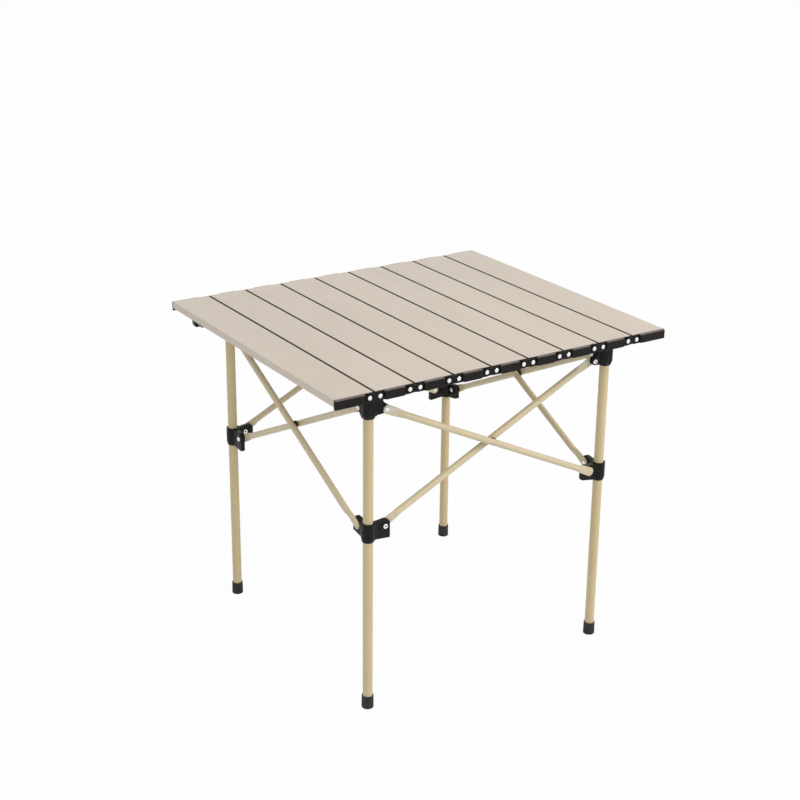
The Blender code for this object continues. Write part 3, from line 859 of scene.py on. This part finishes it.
def cap_shapes(linked, tab_side):
    """Front end cap: recessed plate, proud bar, plug in the channel and locating tab."""
    face = top_depth / 2
    back = face - cap_face
    recess = face - cap_recess_depth
    step_in = 0.0002
    low, top = -cap_height, -step_in
    linked_cut, free_cut = 0.0035, 0.001
    plate_edge, plate_corner = 0.0005, 0.0006
    plug_length, plug_overlap, plug_edge = 0.016, 0.0008, 0.0006
    tab_width, tab_drop, tab_thickness = 0.024, 0.008, 0.004
    bridge_edge, tab_edge = 0.0005, 0.0007

    plate = []
    for side in (1, -1):
        cut = linked_cut if side in linked else free_cut
        points = [(side * slat_half, top - step_in, plate_edge),
                  (side * slat_half, low + cut, plate_corner),
                  (side * (slat_half - cut), low + step_in, plate_corner)]
        plate += reversed(points) if side == 1 else points
    shapes = [slab(rounded(plate, 3), back, recess, 0.0, plate_edge)]

    free_end = slat_half - step_in
    ends = [(side * (cap_bar_width / 2 if side in linked else free_end), side in linked)
            for side in (-1, 1)]
    shapes.append(proud_bar(ends, low, top, back + step_in, face))

    plug_half = slat_half - slat_wall - fit_gap
    plug_low, plug_top = slat_wall + fit_gap - slat_height, -slat_wall - fit_gap
    shapes.append(box((-plug_half, plug_low, back - plug_length),
                      (plug_half, plug_top, back + plug_overlap), plug_edge))

    if tab_side:
        outer = slat_half - slat_lip - 2 * fit_gap
        near, far = sorted((tab_side * outer, tab_side * (outer - tab_width)))
        tab_face = corner + hub_half + 2 * fit_gap
        middle = (plug_low + plug_top) / 2
        shapes.append(box((near + step_in, plug_low + step_in, tab_face + step_in),
                          (far - step_in, middle - step_in, back), bridge_edge))
        shapes.append(box((near, -slat_height - tab_drop, tab_face),
                          (far, middle, tab_face + tab_thickness), tab_edge))
    return [moved(shape, upright) for shape in shapes]


def link_shapes():
    """Stadium-shaped plate and the heads of its two rivets, centred on a seam."""
    half, radius = link_spacing / 2, link_height / 2
    end_steps = 16
    back_edge, front_edge = 0.0003, 0.0006
    outline = []
    for end in (1, -1):
        for step in range(end_steps + 1):
            angle = math.pi * (step / end_steps - 0.5)
            outline.append(Vector((end * (half + radius * math.cos(angle)),
                                   end * radius * math.sin(angle))))
    plate = moved(slab(outline, link_back, link_front, back_edge, front_edge), upright)
    head = facing(dome(radius=0.0039, height=0.0015, rim=0.0004), -1)
    heads = [moved(head, Matrix.Translation((end * half, -link_front, 0))) for end in (-1, 1)]
    return plate, heads


slat_mesh = mesh_of([slat_shape()], "slat")
middle_slat = (slat_count + 1) // 2
carrier_offset = max(1, round(corner / pitch))
for number in range(1, slat_count + 1):
    offset = number - middle_slat
    place = Matrix.Translation((offset * pitch, 0, table_height))
    body = f"slat_{number}"
    linked = [side for side in (-1, 1) if 1 <= number + side <= slat_count]
    tab_side = int(math.copysign(1, offset)) if abs(offset) == carrier_offset else 0
    cap = fused(cap_shapes(linked, tab_side), "end_cap")
    piece(f"channel_{number}", slat_mesh, slat_paint, body, [body], place)
    for end, matrix in (("front", place), ("back", place @ back_mirror)):
        piece(f"{end}_cap_{number}", cap, cap_plastic, body,
              [f"{end}_end_cap_{number}"], matrix, crease=40)

plate_shape, head_shapes = link_shapes()
plate_mesh = mesh_of([plate_shape], "link_plate")
heads_mesh = mesh_of(head_shapes, "link_rivets")
for number in range(1, slat_count):
    seam = (number - middle_slat + 0.5) * pitch
    place = Matrix.Translation((seam, 0, table_height - pivot_drop))
    body = f"link_{number}"
    for end, matrix in (("front", place), ("back", place @ back_mirror)):
        nodes = [f"front_link_{number}"] if end == "front" else ()
        piece(f"{end}_plate_{number}", plate_mesh, link_paint, body, nodes, matrix)
        piece(f"{end}_plate_rivets_{number}", heads_mesh, rivet_metal, body,
              matrix=matrix)


# Strap under the first slat

def strap_shapes():
    """Short band that hangs in a shallow curve, its moulded clip and its stud."""
    edge_inset = 0.012
    across = edge_inset - top_width / 2
    far = 0.221
    span, sag, band_steps = 0.044, 0.0072, 24
    band_half, band_thickness, band_edge = 0.005, 0.0014, 0.0005
    clip_half, clip_back, clip_length, clip_edge = 0.007, 0.0014, 0.011, 0.0012
    clip_levels = ((0, 0.0004), (0.0004, 0), (0.0088, 0.0004), (0.0134, 0.0016), (0.0150, 0.0030))
    stud_along, stud_drop = 0.041, 0.0019

    section = rounded_block(-band_half, band_half, 0, band_thickness, band_edge, 2)
    rings = []
    for step in range(band_steps + 1):
        share = step / band_steps
        level = under_slats - band_thickness - sag * math.sin(math.pi * share)
        rings.append([(across + p.x, far - span * share, level + p.y) for p in section])
    band = loft(rings)

    clip_rings = []
    for drop, inset in clip_levels:
        outline = rounded_block(inset - clip_half, clip_half - inset, -clip_back,
                                clip_length - inset, clip_edge)
        clip_rings.append([(across + p.x, far + p.y, under_slats - drop) for p in outline])

    place = Matrix.Translation((across, far - stud_along, under_slats - stud_drop))
    stud = moved(dome(radius=0.0022, height=0.0016), place @ Matrix.Rotation(math.pi, 4, "X"))
    return band, loft(clip_rings), stud


band, clip, stud = strap_shapes()
piece("strap_band", mesh_of([band], "band"), strap_weave, "slat_1",
      ["roll_strap"])
piece("strap_clip", mesh_of([clip, stud], "clip"), cap_plastic, "slat_1")


# Studio

def camera_matrix(azimuth, elevation, roll, place):
    """Camera turned by its azimuth, elevation and roll, in radians."""
    back = Vector((math.sin(azimuth) * math.cos(elevation),
                   -math.cos(azimuth) * math.cos(elevation), math.sin(elevation)))
    right = Vector((math.cos(azimuth), math.sin(azimuth), 0))
    up = back.cross(right)
    turned_right = right * math.cos(roll) + up * math.sin(roll)
    turned_up = up * math.cos(roll) - right * math.sin(roll)
    matrix = Matrix((turned_right, turned_up, back)).transposed().to_4x4()
    matrix.translation = place
    return matrix


def studio_camera():
    """Camera at the photograph's viewpoint, as fitted to its corners, seams and feet."""
    data = bpy.data.cameras.new("camera")
    data.sensor_width = 36
    data.lens = 71.232
    data.shift_x = 0.00176
    data.shift_y = -0.00782
    camera = bpy.data.objects.new("camera", data)
    camera.matrix_world = camera_matrix(azimuth=-0.5726306, elevation=0.3667642, roll=0.0098177,
                                        place=(-1.547707, -2.353317, 1.551351))
    bpy.context.scene.collection.objects.link(camera)
    bpy.context.scene.camera = camera


def backdrop_rays(tree):
    """1 for rays that should meet the white background: seen, mirrored or seen through."""
    rays = tree.nodes.new("ShaderNodeLightPath")
    total = rays.outputs["Is Camera Ray"]
    for name in ("Is Glossy Ray", "Is Transmission Ray"):
        either = tree.nodes.new("ShaderNodeMath")
        either.operation = "MAXIMUM"
        tree.links.new(total, either.inputs[0])
        tree.links.new(rays.outputs[name], either.inputs[1])
        total = either.outputs["Value"]
    return total


def studio_floor():
    """Pale floor that looks white in the background but keeps a soft shadow.

    It lies just under the feet, so that it doesn't show through their soles.
    """
    size, drop = 30, 0.0002
    lit_tone, seen_tone = 0.72, 1.0
    glow_share = 0.95
    mesh = bpy.data.meshes.new("floor")
    mesh.from_pydata([(-size, -size, -drop), (size, -size, -drop),
                      (size, size, -drop), (-size, size, -drop)], [], [(0, 1, 2, 3)])
    floor = bpy.data.objects.new("floor", mesh)
    bpy.context.scene.collection.objects.link(floor)
    material = bpy.data.materials.new("floor_white")
    material.use_nodes = True
    tree = material.node_tree
    shader = tree.nodes["Principled BSDF"]
    shader.inputs["Roughness"].default_value = 0.9
    tone = tree.nodes.new("ShaderNodeMapRange")
    tone.inputs["To Min"].default_value = lit_tone
    tone.inputs["To Max"].default_value = seen_tone
    glow = tree.nodes.new("ShaderNodeEmission")
    glow.inputs["Color"].default_value = (1, 1, 1, 1)
    mix = tree.nodes.new("ShaderNodeMixShader")
    share = tree.nodes.new("ShaderNodeMath")
    share.operation = "MULTIPLY"
    share.inputs[1].default_value = glow_share
    backdrop = backdrop_rays(tree)
    tree.links.new(backdrop, tone.inputs["Value"])
    tree.links.new(tone.outputs["Result"], shader.inputs["Base Color"])
    tree.links.new(backdrop, share.inputs[0])
    tree.links.new(share.outputs["Value"], mix.inputs["Fac"])
    tree.links.new(shader.outputs["BSDF"], mix.inputs[1])
    tree.links.new(glow.outputs["Emission"], mix.inputs[2])
    tree.links.new(mix.outputs["Shader"], tree.nodes["Material Output"].inputs["Surface"])
    mesh.materials.append(material)


def studio_world():
    """Pale sky, brighter overhead, that shows as white in the background."""
    strength_below, strength_above = 0.34, 0.74
    world = bpy.data.worlds.new("studio")
    bpy.context.scene.world = world
    world.use_nodes = True
    tree = world.node_tree
    light = tree.nodes["Background"]
    light.inputs["Color"].default_value = (0.93, 0.96, 1.0, 1)
    place = tree.nodes.new("ShaderNodeTexCoord")
    split = tree.nodes.new("ShaderNodeSeparateXYZ")
    rise = tree.nodes.new("ShaderNodeMapRange")
    rise.inputs["To Min"].default_value = strength_below
    rise.inputs["To Max"].default_value = strength_above
    tree.links.new(place.outputs["Generated"], split.inputs[0])
    tree.links.new(split.outputs["Z"], rise.inputs["Value"])
    tree.links.new(rise.outputs["Result"], light.inputs["Strength"])
    white = tree.nodes.new("ShaderNodeBackground")
    white.inputs["Color"].default_value = (1, 1, 1, 1)
    white.inputs["Strength"].default_value = 1
    mix = tree.nodes.new("ShaderNodeMixShader")
    tree.links.new(backdrop_rays(tree), mix.inputs["Fac"])
    tree.links.new(light.outputs["Background"], mix.inputs[1])
    tree.links.new(white.outputs["Background"], mix.inputs[2])
    tree.links.new(mix.outputs["Shader"], tree.nodes["World Output"].inputs["Surface"])


def studio_lamp(name, place, size, power, colour):
    """Soft square lamp aimed at the middle of the table."""
    target = Vector((0, 0, 0.35))
    data = bpy.data.lights.new(name, "AREA")
    data.shape = "SQUARE"
    data.size = size
    data.energy = power
    data.color = colour
    lamp = bpy.data.objects.new(name, data)
    turn = (target - Vector(place)).to_track_quat("-Z", "Y").to_matrix().to_4x4()
    lamp.matrix_world = Matrix.Translation(place) @ turn
    bpy.context.scene.collection.objects.link(lamp)


studio_camera()
studio_floor()
studio_world()
studio_lamp("key", (2.2, -2.6, 2.6), size=2.2, power=72, colour=(1.0, 0.985, 0.96))
studio_lamp("fill", (-2.6, -1.6, 1.6), size=2.4, power=16, colour=(0.97, 0.985, 1.0))
bpy.context.scene.view_settings.view_transform = "Standard"
